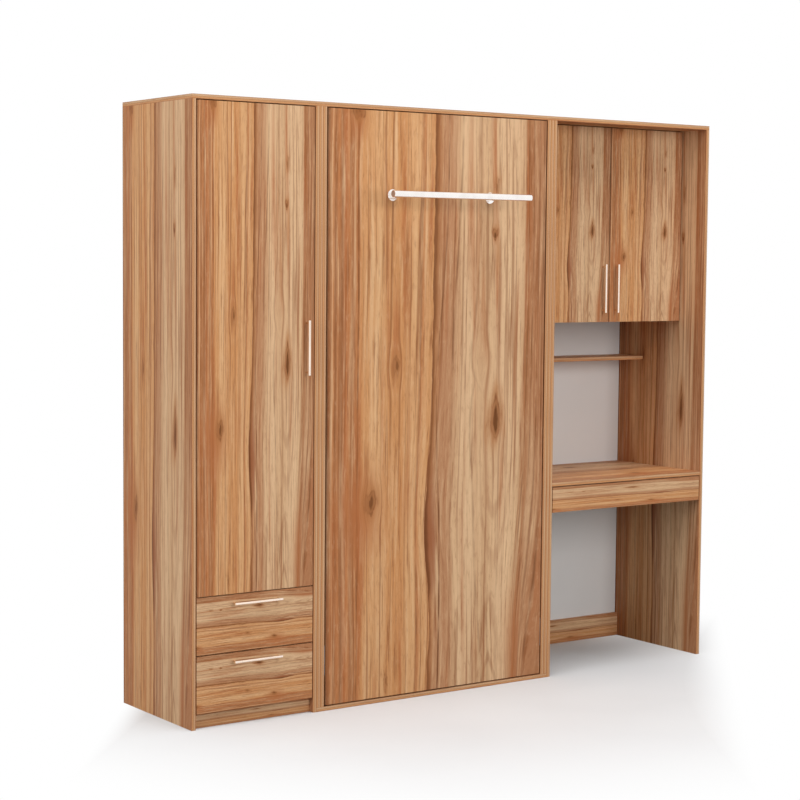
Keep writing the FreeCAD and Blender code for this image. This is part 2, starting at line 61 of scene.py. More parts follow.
# Light: place, side of the square lamp, and power in watts
AMBIENT_STRENGTH = 0.36
LAMPS = {
    "front_light": (Vector((0.5, -7.0, 2.5)), 3.5, 219.0),
    "left_light": (Vector((-6.5, -1.5, 3.0)), 3.5, 226.0),
    "top_light": (Vector((0.0, -1.5, 7.0)), 4.0, 286.0),
    "back_light": (Vector((4.0, 5.5, 3.0)), 3.5, 120.0),
}
LIGHT_TARGET = Vector((0.0, 0.0, 1.0))

# Floor: it turns white to the camera left of the unit, behind it, to its right and away from it, and it
# throws back less light than it shows
FLOOR_HALF_SIDE = 40.0
FLOOR_HEIGHT = -0.5 * MILLIMETRE
FLOOR_LEFT_WAY = (-0.8, 0.6)
FLOOR_FADE_LEFT = (0.95, 1.12)
FLOOR_FADE_BEHIND = (0.27, 0.42)
FLOOR_FADE_AWAY = (0.8, 2.0)
FLOOR_RIGHT_WAY = (0.74, -0.67)
FLOOR_FADE_RIGHT = (0.95, 1.2)
FLOOR_BOUNCE_COLOUR = (0.20, 0.20, 0.20, 1.0)


def paint(red, green, blue):
    """A colour given as it shows on screen, 0 to 255, as the shader's linear numbers."""
    def linear(part):
        part = part / 255.0
        if part <= 0.04045:
            return part / 12.92
        return ((part + 0.055) / 1.055) ** 2.4
    return (linear(red), linear(green), linear(blue), 1.0)


# Where the mix node keeps its colours, among sockets that share their names
MIX_FIRST_COLOUR = 6
MIX_SECOND_COLOUR = 7
MIX_COLOUR_RESULT = 2


# Wires: numbers and colours that run through a material's nodes
class Wire:
    """A number in a node tree. Arithmetic on it adds Math nodes."""

    def __init__(self, tree, socket):
        self.tree = tree
        self.socket = socket

    def math(self, operation, *others):
        """A Math node on this and the other numbers."""
        node = self.tree.nodes.new("ShaderNodeMath")
        node.operation = operation
        for socket, value in zip(node.inputs, (self, *others)):
            plug(self.tree, value, socket)
        return Wire(self.tree, node.outputs[0])

    def __add__(self, other):
        return self.math("ADD", other)

    def __sub__(self, other):
        return self.math("SUBTRACT", other)

    def __mul__(self, other):
        return self.math("MULTIPLY", other)

    def near(self, centre, width):
        """1 where this equals the centre, falling smoothly to 0 a width away."""
        return (self - centre).math("ABSOLUTE").smooth(width, 0.0)

    def smooth(self, low, high, start=0.0, end=1.0):
        """A smooth step from start to end as this goes from low to high, whichever way round they are."""
        node = self.tree.nodes.new("ShaderNodeMapRange")
        node.interpolation_type = "SMOOTHSTEP"
        if low > high:
            low, high, start, end = high, low, end, start
        for name, value in (("Value", self), ("From Min", low), ("From Max", high),
                            ("To Min", start), ("To Max", end)):
            plug(self.tree, value, node.inputs[name])
        return Wire(self.tree, node.outputs["Result"])

    def curve(self, *points):
        """The value of a smooth curve through the points, over this as it goes from 0 to 1."""
        node = self.tree.nodes.new("ShaderNodeFloatCurve")
        line = node.mapping.curves[0]
        line.points[0].location = points[0]
        line.points[1].location = points[-1]
        for point in points[1:-1]:
            line.points.new(*point)
        node.mapping.update()
        plug(self.tree, self, node.inputs["Value"])
        return Wire(self.tree, node.outputs["Value"])


def plug(tree, value, socket):
    """Links a wire or a socket into a socket, or sets the socket to a plain value."""
    if isinstance(value, Wire):
        value = value.socket
    if isinstance(value, bpy.types.NodeSocket):
        tree.links.new(value, socket)
    else:
        socket.default_value = value


def pair(tree, first, second, third=0.0):
    """A vector out of numbers or wires."""
    node = tree.nodes.new("ShaderNodeCombineXYZ")
    for socket, value in zip(node.inputs, (first, second, third)):
        plug(tree, value, socket)
    return node.outputs[0]


def split(tree, vector):
    """The three wires of a vector."""
    node = tree.nodes.new("ShaderNodeSeparateXYZ")
    tree.links.new(vector, node.inputs[0])
    return [Wire(tree, output) for output in node.outputs]


def noise(tree, vector, scale=1.0, detail=2.0, roughness=0.5):
    """Smooth noise around 0.5."""
    node = tree.nodes.new("ShaderNodeTexNoise")
    tree.links.new(vector, node.inputs["Vector"])
    for name, value in (("Scale", scale), ("Detail", detail), ("Roughness", roughness)):
        node.inputs[name].default_value = value
    return Wire(tree, node.outputs["Fac"])


def mix(tree, factor, first, second):
    """A mix of two colours."""
    node = tree.nodes.new("ShaderNodeMix")
    node.data_type = "RGBA"
    plug(tree, factor, node.inputs["Factor"])
    plug(tree, first, node.inputs[MIX_FIRST_COLOUR])
    plug(tree, second, node.inputs[MIX_SECOND_COLOUR])
    return node.outputs[MIX_COLOUR_RESULT]


def ramp(tree, wire, stops):
    """A colour that changes with the wire, through (place, colour) stops. A ramp holds 32 at most."""
    node = tree.nodes.new("ShaderNodeValToRGB")
    elements = node.color_ramp.elements
    for index, (place, colour) in enumerate(stops):
        element = elements[index] if index < 2 else elements.new(place)
        element.position = place
        element.color = colour
    plug(tree, wire, node.inputs["Fac"])
    return node.outputs["Color"]


def bump(tree, height, strength, distance):
    """A normal from a height wire."""
    node = tree.nodes.new("ShaderNodeBump")
    node.inputs["Strength"].default_value = strength
    node.inputs["Distance"].default_value = distance
    plug(tree, height, node.inputs["Height"])
    return node.outputs["Normal"]


def coordinates(tree, output):
    """An output of the texture coordinate node."""
    return tree.nodes.new("ShaderNodeTexCoord").outputs[output]


def new_material(name, **settings):
    """A material with one shader, whose plain sockets take the settings."""
    material = bpy.data.materials.new(name)
    material.use_nodes = True
    tree = material.node_tree
    tree.nodes.clear()
    shader = tree.nodes.new("ShaderNodeBsdfPrincipled")
    output = tree.nodes.new("ShaderNodeOutputMaterial")
    tree.links.new(shader.outputs["BSDF"], output.inputs["Surface"])
    for socket_name, value in settings.items():
        shader.inputs[socket_name.replace("_", " ")].default_value = value
    return material, tree, shader


def fill_shader(tree, shader, colour, roughness, normal):
    """Plugs what varies over a surface into its shader."""
    for value, socket_name in ((colour, "Base Color"), (roughness, "Roughness"), (normal, "Normal")):
        plug(tree, value, shader.inputs[socket_name])


# Mattress: sizes of its grid, rounding and piping, and the cloth simulation that puffs its faces
QUILT_CELLS = 6
MATTRESS_STEP = 0.020
MATTRESS_EDGE_RADIUS = 0.030
MATTRESS_CORNER_RADIUS = 0.070
MATTRESS_START_INSET = 0.007
MATTRESS_SIDE_INSET = 0.002
MATTRESS_LARGEST_MOVE = 0.012
BORDER_FACING = 0.5
PIPING_RADIUS = 0.0035
PIPING_OUT_SHARE = 0.4
PIPING_SIDES = 10
CORNER_PARTS = 8
KNIT_PITCH = 0.004
SIMULATION_FRAMES = 24
CLOTH_SETTINGS = {
    "quality": 4,
    "mass": 0.3,
    "tension_stiffness": 5.0,
    "compression_stiffness": 5.0,
    "shear_stiffness": 2.0,
    "bending_stiffness": 0.1,
    "vertex_group_mass": "held",
    "use_pressure": True,
    "uniform_pressure_force": 14.0,
}

# Plugs in the ends of the foot bar
BAR_WALL = 0.002
PLUG_DEPTH = 0.010
PLUG_RECESS = 0.001
PLUG_CLEARANCE = 0.0001
PLUG_SIDES = 32
PLUG_ROUNDING_MM = 0.5

# Mattress straps
STRAP_WIDTH = 0.050
STRAP_THICKNESS = 0.0018
STRAP_CLEARANCE = 0.0001
STRAP_CORNER_RADIUS = 0.032

# Depth of the relief on each kind of surface, and the pitch of the threads in border and straps
FINE_RELIEF = 0.2 * MILLIMETRE
METAL_RELIEF = 0.1 * MILLIMETRE
CLOTH_RELIEF = 0.5 * MILLIMETRE
QUILT_RELIEF = 0.6 * MILLIMETRE
BORDER_THREAD = 1.6 * MILLIMETRE
STRAP_THREAD = 2.4 * MILLIMETRE

# Wood decor: the same printed board picture lies over each face of a board, from edge to edge
DEEP_BROWN = paint(92, 50, 22)
UMBER = paint(112, 66, 38)
RED_UMBER = paint(150, 88, 56)
DARK_STREAK = paint(142, 86, 51)
BROWN = paint(166, 112, 74)
RED_BROWN = paint(174, 106, 64)
HALO_BROWN = paint(174, 116, 70)
ROSE_BROWN = paint(175, 122, 85)
RUSSET = paint(190, 126, 80)
AMBER = paint(202, 144, 94)
GOLD = paint(211, 160, 112)
ROSE_TAN = paint(184, 134, 97)
STRAW = paint(215, 177, 138)
SAND = paint(201, 160, 121)
CREAM = paint(230, 194, 152)

# Bands from the left edge of the picture to its right edge
BANDS = (
    (0.000, UMBER), (0.010, BROWN), (0.024, RUSSET), (0.036, BROWN), (0.048, RUSSET), (0.060, BROWN),
    (0.076, RED_BROWN), (0.092, RUSSET), (0.106, BROWN), (0.130, RUSSET), (0.150, AMBER), (0.215, GOLD),
    (0.240, GOLD), (0.275, AMBER), (0.335, AMBER), (0.360, GOLD), (0.392, GOLD), (0.408, RUSSET),
    (0.425, GOLD), (0.450, AMBER), (0.495, ROSE_TAN), (0.550, ROSE_TAN), (0.585, SAND), (0.608, STRAW),
    (0.650, STRAW), (0.690, SAND), (0.740, SAND), (0.780, STRAW), (0.865, STRAW), (0.900, SAND),
    (0.909, BROWN), (0.955, ROSE_BROWN),
)
# Knots: centre and half size, both as shares of the face, and depth of tone
KNOTS = (
    ((0.765, 0.530), (0.030, 0.034), 1.00), ((0.757, 0.203), (0.013, 0.010), 0.95),
    ((0.764, 0.118), (0.015, 0.015), 0.55), ((0.192, 0.662), (0.028, 0.020), 0.80),
    ((0.302, 0.432), (0.020, 0.018), 0.65), ((0.130, 0.002), (0.024, 0.012), 0.85),
    ((0.266, 0.975), (0.009, 0.022), 0.60),
)
# Where the grain swells round a knot: centre, half size, how strongly
SWELLINGS = (
    ((0.765, 0.53), (0.060, 0.080), 0.85), ((0.700, 0.425), (0.060, 0.065), 0.90),
    ((0.190, 0.66), (0.070, 0.060), 0.85), ((0.300, 0.43), (0.050, 0.060), 0.80),
    ((0.760, 0.203), (0.030, 0.035), 0.80), ((0.13, 0.0), (0.05, 0.05), 0.80),
)
# Smears of darker or paler wood: centre, half size, depth, colour
SMEARS = (
    ((0.772, 0.240), (0.020, 0.055), 0.45, HALO_BROWN), ((0.770, 0.480), (0.014, 0.050), 0.50, HALO_BROWN),
    ((0.750, 0.575), (0.020, 0.030), 0.35, HALO_BROWN), ((0.300, 0.370), (0.022, 0.110), 0.55, RED_BROWN),
    ((0.130, 0.020), (0.060, 0.050), 0.60, RED_BROWN), ((0.150, 0.680), (0.160, 0.130), 0.75, RED_BROWN),
    ((0.350, 0.660), (0.060, 0.100), 0.30, RED_BROWN), ((0.860, 0.930), (0.070, 0.160), 0.50, RED_BROWN),
    ((0.620, 0.040), (0.110, 0.160), 0.45, STRAW), ((0.720, 0.540), (0.200, 0.240), 0.35, STRAW),
)
# How the grain leans: its place across at shares of the way down, and where it would be without a lean
LEAN_MIDDLE = ((0.0, 0.5), (0.35, 0.49), (0.6, 0.47), (0.7, 0.455), (0.82, 0.475), (1.0, 0.465))
LEAN_MIDDLE_REST = 0.476
LEAN_RIGHT = ((0.0, 0.905), (0.45, 0.905), (0.6, 0.895), (0.75, 0.87), (0.9, 0.835), (1.0, 0.82))
LEAN_RIGHT_REST = 0.905
# The middle streak: its left rim, its width and the darkness of its core, at shares of the way down
STREAK_RIM = (
    (0.0, 0.471), (0.3, 0.467), (0.55, 0.458), (0.62, 0.448), (0.7, 0.434), (0.76, 0.438), (0.83, 0.455),
    (0.9, 0.460), (1.0, 0.452),
)
STREAK_WIDTH = (
    (0.0, 0.046), (0.3, 0.042), (0.45, 0.032), (0.6, 0.036), (0.7, 0.052), (0.8, 0.046), (0.86, 0.020),
    (1.0, 0.040),
)
STREAK_CORE = ((0.0, 0.65), (0.3, 0.6), (0.6, 0.55), (0.72, 0.95), (0.82, 0.9), (0.88, 0.4), (1.0, 0.55))
# Flames low on the right: centre and half size of the rings, and the arches' place across and down
FLAME_CENTRE = (0.765, 0.60)
FLAME_SIZE = (0.075, 0.19)
ARCH_ACROSS = 0.745
ARCH_DOWN = 0.82
# Half width of a knot whose rings have the plain scale; in a smaller knot they are finer
PLAIN_KNOT_HALF_WIDTH = 0.035
# Drawn lines: course down the face, half width, and depth down the face
STROKES = (
    (((0.0, 0.679), (0.15, 0.686), (0.25, 0.683), (0.34, 0.668), (0.40, 0.652), (0.43, 0.652),
      (0.46, 0.672), (0.49, 0.715), (0.51, 0.75), (1.0, 0.757)), 0.010,
     ((0.0, 0.2), (0.3, 0.3), (0.38, 0.45), (0.46, 0.3), (0.52, 0.0), (1.0, 0.0))),
    (((0.0, 0.66), (0.45, 0.668), (0.5, 0.65), (0.55, 0.645), (0.6, 0.65), (0.68, 0.664),
      (0.77, 0.671), (0.85, 0.683), (0.92, 0.70), (1.0, 0.714)), 0.009,
     ((0.0, 0.0), (0.43, 0.0), (0.5, 0.5), (0.6, 0.5), (0.8, 0.45), (1.0, 0.5))),
    (((0.0, 0.60), (0.1, 0.597), (0.25, 0.58), (0.33, 0.567), (0.45, 0.56), (0.6, 0.556), (1.0, 0.556)),
     0.008, ((0.0, 0.75), (0.3, 0.65), (0.5, 0.5), (0.7, 0.25), (1.0, 0.1))),
    (((0.0, 0.535), (0.18, 0.532), (0.3, 0.515), (0.45, 0.489), (0.6, 0.492), (0.7, 0.503), (1.0, 0.503)),
     0.007, ((0.0, 0.75), (0.3, 0.6), (0.6, 0.6), (0.7, 0.95), (1.0, 0.95))),
    (((0.0, 0.70), (0.8, 0.70), (0.9, 0.735), (1.0, 0.745)), 0.012,
     ((0.0, 0.0), (0.82, 0.0), (0.9, 0.4), (1.0, 0.5))),
)
# Straight lines: place across, half width, depth
STRAIGHT_LINES = (
    (0.133, 0.007, 0.65), (0.237, 0.005, 0.25), (0.282, 0.006, 0.30), (0.403, 0.009, 0.50),
    (0.062, 0.008, 0.35), (0.918, 0.006, 0.50), (0.942, 0.006, 0.55), (0.968, 0.006, 0.45),
    (0.992, 0.006, 0.70), (0.030, 0.005, 0.30), (0.785, 0.005, 0.20), (0.345, 0.005, 0.28),
)


def hump(tree, place, centre, size):
    """1 at the centre of an oval, falling to 0 at its rim; also the distance counted in rims."""
    scale = tree.nodes.new("ShaderNodeVectorMath")
    scale.operation = "MULTIPLY_ADD"
    tree.links.new(place, scale.inputs[0])
    factors = [1.0 / size[0], 1.0 / size[1], 0.0]
    scale.inputs[1].default_value = factors
    scale.inputs[2].default_value = [-centre[0] * factors[0], -centre[1] * factors[1], 0.0]
    length = tree.nodes.new("ShaderNodeVectorMath")
    length.operation = "LENGTH"
    tree.links.new(scale.outputs[0], length.inputs[0])
    distance = Wire(tree, length.outputs["Value"])
    return distance.smooth(1.0, 0.0), distance


def grain_shift(tree, place, across, along):
    """How far the grain has moved sideways: it leans, wavers and swells round the knots."""
    waver = noise(tree, pair(tree, across * 5.0, along * 3.0), detail=1.0)
    lean_middle = along.curve(*LEAN_MIDDLE) - LEAN_MIDDLE_REST
    lean_right = along.curve(*LEAN_RIGHT) - LEAN_RIGHT_REST
    shift = lean_middle * across.near(0.48, 0.16) + lean_right * across.near(0.90, 0.14)
    shift = shift + (waver - 0.5) * 0.014
    for centre, size, spread in SWELLINGS:
        swell, _ = hump(tree, place, centre, size)
        shift = shift + (across - centre[0]) * swell * spread
    return shift


def middle_streak(tree, across, along, colour):
    """The dark ragged streak down the middle of the decor: a crisp left rim and a fading right one."""
    rim = along.curve(*STREAK_RIM)
    width = along.curve(*STREAK_WIDTH)
    ragged = (noise(tree, pair(tree, across * 34.0, along * 16.0), detail=4.0) - 0.5) * 0.022
    inside = (across + ragged - rim).math("DIVIDE", width)
    body = inside.smooth(0.0, 0.08) * inside.smooth(1.0, 0.25)
    darkness = along.curve(*STREAK_CORE)
    core = inside.smooth(0.0, 0.08) * inside.smooth(0.50, 0.15)
    colour = mix(tree, body * 0.70, colour, DARK_STREAK)
    patch = inside.smooth(0.0, 0.08) * inside.smooth(1.1, 0.8) * along.near(0.73, 0.17)
    colour = mix(tree, patch * 0.8, colour, RED_UMBER)
    return mix(tree, core * darkness, colour, UMBER)


def flames(tree, place, across, along, colour):
    """Flame-shaped lines between the large knot and the lower edge: long rings, and arches below them."""
    uneven = noise(tree, pair(tree, across * 14.0, along * 9.0, 2.0), detail=2.0) - 0.5
    _, distance = hump(tree, place, FLAME_CENTRE, FLAME_SIZE)
    bent = distance + uneven * 0.22
    rings = (bent * 15.0).math("SINE").smooth(0.0, 1.0) * bent.smooth(1.15, 0.85) * along.smooth(0.56, 0.68)
    colour = mix(tree, rings * 0.26, colour, DARK_STREAK)
    off_middle = (across - ARCH_ACROSS).math("ABSOLUTE")
    arch = (along - ARCH_DOWN) * 6.0 - off_middle * 9.0 + uneven * 0.8
    arches = (arch * 10.0).math("SINE").smooth(0.0, 1.0) * arch.smooth(-0.1, 0.3)
    return mix(tree, arches * across.near(ARCH_ACROSS, 0.12) * 0.34, colour, DARK_STREAK)


def knots(tree, place, across, along, colour):
    """Knots: a brown halo drawn out along the grain, broken rings and a dark ragged heart."""
    for centre, size, depth in KNOTS:
        half_width, half_height = size
        grow = PLAIN_KNOT_HALF_WIDTH / half_width
        twist_place = pair(tree, across * 34.0 * grow, along * 17.0 * grow, centre[0] * 9.0)
        twist = noise(tree, twist_place, detail=4.0)
        gaps_place = pair(tree, across * 24.0 * grow, along * 11.0 * grow, centre[1] * 7.0)
        gaps = noise(tree, gaps_place, detail=1.0)
        _, distance = hump(tree, place, centre, size)
        _, tail = hump(tree, place, centre, (half_width * 0.9, half_height * 2.6))
        heart_centre = (centre[0] + half_width * 0.10, centre[1])
        _, heart = hump(tree, place, heart_centre, (half_width * 0.60, half_height * 0.75))
        uneven = distance + (twist - 0.5) * 2.4
        rings = (uneven * 9.0).math("SINE").smooth(0.2, 1.0) * uneven.smooth(1.3, 0.8)
        rim = uneven.near(0.80, 0.30) * gaps.smooth(0.47, 0.60)
        ragged = heart + (twist - 0.5) * 3.2
        colour = mix(tree, tail.smooth(1.0, 0.2) * depth * 0.40, colour, HALO_BROWN)
        colour = mix(tree, uneven.smooth(2.2, 0.6) * depth * 0.62, colour, HALO_BROWN)
        colour = mix(tree, uneven.smooth(1.4, 0.5) * depth * 0.50, colour, DARK_STREAK)
        colour = mix(tree, rings * depth * 0.35, colour, DARK_STREAK)
        colour = mix(tree, rim * depth * 0.55, colour, UMBER)
        colour = mix(tree, ragged.smooth(0.9, 0.1) * depth * 0.80, colour, DEEP_BROWN)
    return colour


def wood_decor(tree, across, along):
    """The decor's colour over a face: across from 0 to 1 and along the grain from 0 to 1."""
    place = pair(tree, across, along)
    line = across - grain_shift(tree, place, across, along)
    colour = ramp(tree, line, BANDS)
    # Streaks along the grain, from broad to fibre-fine, each darkened where its noise is high and
    # lightened where it is low: noise, where the tone starts and where it is full, its depth, the tone
    drift = noise(tree, pair(tree, across * 3.0, along * 2.0, 7.0), detail=1.0) - 0.5
    wander = line + drift * 0.035
    broad = noise(tree, pair(tree, wander * 26.0, along * 2.0, 4.0), detail=2.0)
    middling = noise(tree, pair(tree, wander * 75.0, along * 6.0, 9.0), detail=3.0, roughness=0.6)
    fine = noise(tree, pair(tree, wander * 200.0, along * 34.0), detail=3.0, roughness=0.65)
    flecks = noise(tree, pair(tree, wander * 90.0, along * 42.0, 5.0), detail=3.0, roughness=0.6)
    threads = noise(tree, pair(tree, wander * 66.0, along * 1.3, 1.0), detail=1.0)
    for streak, start, end, depth, tone in (
        (broad, 0.50, 0.74, 0.85, RED_BROWN), (broad, 0.48, 0.26, 0.50, CREAM),
        (middling, 0.52, 0.74, 0.80, DARK_STREAK), (middling, 0.47, 0.28, 0.42, CREAM),
        (fine, 0.54, 0.80, 0.48, DARK_STREAK), (fine, 0.46, 0.28, 0.20, CREAM),
        (flecks, 0.52, 0.75, 0.32, DARK_STREAK), (flecks, 0.45, 0.25, 0.20, CREAM),
        (threads, 0.58, 0.68, 0.52, DARK_STREAK), (threads, 0.40, 0.26, 0.35, CREAM),
    ):
        colour = mix(tree, streak.smooth(start, end) * depth, colour, tone)
    # Single lines, broken along their length
    breaks = noise(tree, pair(tree, across * 30.0, along * 14.0, 3.0), detail=2.0)
    broken = breaks.smooth(0.35, 0.60, 0.2, 1.0)
    for course, half_width, depth in STROKES:
        stroke = across.near(along.curve(*course), half_width) * along.curve(*depth) * broken
        colour = mix(tree, stroke, colour, UMBER)
    strokes = None
    for centre, half_width, depth in STRAIGHT_LINES:
        stroke = line.near(centre, half_width) * depth
        strokes = stroke if strokes is None else strokes.math("MAXIMUM", stroke)
    colour = mix(tree, strokes * broken, colour, UMBER)
    for centre, size, depth, tone in SMEARS:
        smear, _ = hump(tree, place, centre, size)
        colour = mix(tree, smear * depth, colour, tone)
    colour = middle_streak(tree, across, along, colour)
    colour = flames(tree, place, across, along, colour)
    return knots(tree, place, across, along, colour)


# A face counts as a side, a top or a back where its normal points that way at least so far
SIDE_FACING = 0.7
BACK_FACING = 0.5


def board_place(tree, turned, boards):
    """Across and along the decor for a board: which of its sides a face looks at decides."""
    gx, gy, gz = split(tree, coordinates(tree, "Generated"))
    nx, ny, nz = split(tree, coordinates(tree, "Normal"))
    if boards > 1:
        gx = (gx * float(boards)).math("FRACT")
    to_side = nx.math("ABSOLUTE").math("GREATER_THAN", SIDE_FACING)
    to_top = nz.math("ABSOLUTE").math("GREATER_THAN", SIDE_FACING)
    rightwards = nx.math("GREATER_THAN", 0.0)
    backwards = ny.math("GREATER_THAN", BACK_FACING)

    def flip(wire, when):
        """The wire, or one less it where the switch is on."""
        return wire + when * (wire * -2.0 + 1.0)

    def choose(switch, on, off):
        return off + switch * (on - off)

    if turned:
        across = choose(to_top, gy, gz)
        along = choose(to_side, gy, gx)
        return across, along
    across_front = flip(gx, backwards)
    across_side = flip(gy, rightwards * -1.0 + 1.0)
    across = choose(to_side, across_side, across_front)
    along = gz * -1.0 + 1.0
    return across, along


# Pores in the boards' face, for each metre
PORES_ALONG = 12.0
PORES_ACROSS = 420.0


def board_material(name, turned=False, boards=1):
    """A coated board with the wood decor, a fine pore relief and a satin face."""
    material, tree, shader = new_material(name, IOR=1.45, Specular_IOR_Level=0.13)
    across, along = board_place(tree, turned, boards)
    colour = wood_decor(tree, across, along)
    x, y, z = split(tree, coordinates(tree, "Object"))
    if turned:
        pore_place = pair(tree, x * PORES_ALONG, y * PORES_ACROSS, z * PORES_ACROSS)
    else:
        pore_place = pair(tree, x * PORES_ACROSS, y * PORES_ACROSS, z * PORES_ALONG)
    pores = noise(tree, pore_place, detail=2.0, roughness=0.6)
    roughness = pores.smooth(0.35, 0.65, 0.42, 0.58)
    fill_shader(tree, shader, colour, roughness, bump(tree, pores, 0.25, FINE_RELIEF))
    return material


# Plain board and metal materials
def plain_board(name, colour, shade):
    """A board with an even coat, faint clouds and a fine orange-peel relief."""
    material, tree, shader = new_material(name, IOR=1.45)
    place = coordinates(tree, "Object")
    clouds = noise(tree, place, scale=3.0, detail=3.0)
    speckle = noise(tree, place, scale=700.0, detail=2.0)
    tone = mix(tree, clouds.smooth(0.35, 0.65) * 0.5 + speckle.smooth(0.55, 0.8) * 0.3, colour, shade)
    roughness = speckle.smooth(0.3, 0.7, 0.5, 0.62)
    fill_shader(tree, shader, tone, roughness, bump(tree, speckle, 0.12, FINE_RELIEF))
    return material


def slat_material():
    """Birch veneer, grain along the slat."""
    material, tree, shader = new_material("slat_birch", IOR=1.48)
    x, y, z = split(tree, coordinates(tree, "Object"))
    waver = noise(tree, pair(tree, x * 2.0, z * 8.0, y), detail=1.0)
    grain = noise(tree, pair(tree, x * 5.0, z * 260.0 + waver * 6.0, y * 260.0), detail=3.0, roughness=0.6)
    slat_tone = noise(tree, pair(tree, z * 6.0, 0.0), detail=0.0)
    colour = mix(tree, slat_tone.smooth(0.35, 0.65), paint(226, 193, 150), paint(212, 174, 128))
    colour = mix(tree, grain.smooth(0.5, 0.75) * 0.7, colour, paint(176, 128, 84))
    flecks = noise(tree, pair(tree, x * 90.0, z * 500.0, y * 90.0), detail=0.0)
    colour = mix(tree, flecks.smooth(0.66, 0.75) * 0.5, colour, paint(160, 108, 68))
    roughness = grain.smooth(0.3, 0.7, 0.38, 0.55)
    fill_shader(tree, shader, colour, roughness, bump(tree, grain, 0.2, FINE_RELIEF))
    return material


def metal_material(name, colour, worn, rough, rougher):
    """Bare or plated metal with fine marks and a little wear."""
    material, tree, shader = new_material(name, Metallic=1.0)
    place = coordinates(tree, "Object")
    marks = noise(tree, place, scale=60.0, detail=3.0, roughness=0.7)
    smudges = noise(tree, place, scale=14.0, detail=2.0)
    tone = mix(tree, smudges.smooth(0.4, 0.7) * 0.6, colour, worn)
    roughness = (marks * 0.5 + smudges * 0.5).smooth(0.3, 0.7, rough, rougher)
    fill_shader(tree, shader, tone, roughness, bump(tree, marks, 0.08, METAL_RELIEF))
    return material


def coated_metal(name, colour, worn, rough):
    """Powder-coated or painted steel with a fine peel."""
    material, tree, shader = new_material(name, IOR=1.5)
    place = coordinates(tree, "Object")
    peel = noise(tree, place, scale=900.0, detail=2.0)
    clouds = noise(tree, place, scale=9.0, detail=3.0)
    scuffs = noise(tree, place, scale=60.0, detail=4.0, roughness=0.7)
    tone = mix(tree, clouds.smooth(0.35, 0.65) * 0.5, colour, worn)
    tone = mix(tree, scuffs.smooth(0.66, 0.74) * 0.4, tone, paint(190, 190, 188))
    roughness = peel.smooth(0.3, 0.7, rough, rough + 0.15)
    fill_shader(tree, shader, tone, roughness, bump(tree, peel, 0.2, FINE_RELIEF))
    return material


def rubber_material(name, colour, worn):
    """Matt rubber or plastic with a fine grain."""
    material, tree, shader = new_material(name, IOR=1.45)
    place = coordinates(tree, "Object")
    grain = noise(tree, place, scale=1100.0, detail=2.0)
    dust = noise(tree, place, scale=40.0, detail=3.0)
    tone = mix(tree, dust.smooth(0.45, 0.75) * 0.7, colour, worn)
    roughness = grain.smooth(0.3, 0.7, 0.6, 0.8)
    fill_shader(tree, shader, tone, roughness, bump(tree, grain, 0.3, FINE_RELIEF))
    return material


def cloth_material(name, colour, shade, thread=BORDER_THREAD, sheen=0.25):
    """A knitted or woven cloth: crossing threads, soft clouds of tone and a little sheen."""
    material, tree, shader = new_material(name, IOR=1.4, Sheen_Weight=sheen, Sheen_Roughness=0.4)
    place = coordinates(tree, "Object")
    x, y, z = split(tree, place)
    turn = 2.0 * math.pi / thread
    weave = ((x + y) * turn).math("SINE") * ((z + y) * turn).math("SINE")
    clouds = noise(tree, place, scale=5.0, detail=3.0)
    fuzz = noise(tree, place, scale=420.0, detail=3.0)
    tone = mix(tree, weave.smooth(0.0, 1.0) * 0.35 + clouds.smooth(0.4, 0.7) * 0.3, colour, shade)
    tone = mix(tree, fuzz.smooth(0.55, 0.8) * 0.3, tone, shade)
    roughness = fuzz.smooth(0.3, 0.7, 0.8, 0.95)
    fill_shader(tree, shader, tone, roughness, bump(tree, weave * 0.5 + fuzz, 0.35, CLOTH_RELIEF))
    return material


def centre_and_half(node_name):
    """The centre of a CAD node's box and half its size."""
    low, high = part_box(node_name)
    return (low + high) / 2.0, (high - low) / 2.0


def mattress_half():
    """Half the size of the mattress as it lies before the simulation."""
    _, half = centre_and_half("mattress")
    return half - Vector((MATTRESS_SIDE_INSET, MATTRESS_START_INSET, MATTRESS_SIDE_INSET))


def mattress_counts():
    """How many grid steps the mattress has in X, Y and Z."""
    return [round(2.0 * part / MATTRESS_STEP) for part in mattress_half()]


def quilted_material(name, colour, shade, seam_colour):
    """The mattress cloth with the stitched seams of its diamond quilting, and painted shade in a band along
    each seam where the cloth dips.
    """
    material, tree, shader = new_material(name, IOR=1.4, Sheen_Weight=0.2, Sheen_Roughness=0.4)
    place = coordinates(tree, "Object")
    x, _, z = split(tree, place)
    gx, _, gz = split(tree, coordinates(tree, "Generated"))
    counts = mattress_counts()
    columns = gx * (counts[0] / QUILT_CELLS)
    rows = gz * (counts[2] / QUILT_CELLS)
    off_seam = None
    for lean in (columns + rows, columns - rows):
        off_line = ((lean + 0.5).math("FRACT") - 0.5).math("ABSOLUTE")
        off_seam = off_line if off_seam is None else off_seam.math("MINIMUM", off_line)
    turn = 2.0 * math.pi / KNIT_PITCH
    knit = (x * turn).math("SINE") * (z * turn).math("SINE")
    clouds = noise(tree, place, scale=5.0, detail=3.0)
    fuzz = noise(tree, place, scale=420.0, detail=3.0)
    tone = mix(tree, clouds.smooth(0.4, 0.7) * 0.3 + knit.smooth(0.0, 1.0) * 0.25, colour, shade)
    # Painted shade: the shade colour darkens the cloth in a band along each quilting seam, in the dip where
    # the stitches hold it down
    tone = mix(tree, off_seam.smooth(0.10, 0.0) * 0.45, tone, shade)
    tone = mix(tree, off_seam.smooth(0.022, 0.006) * 0.8, tone, seam_colour)
    roughness = fuzz.smooth(0.3, 0.7, 0.8, 0.95)
    height = off_seam.smooth(0.0, 0.05) * 2.0 + knit * 0.3 + fuzz
    fill_shader(tree, shader, tone, roughness, bump(tree, height, 0.4, QUILT_RELIEF))
    return material


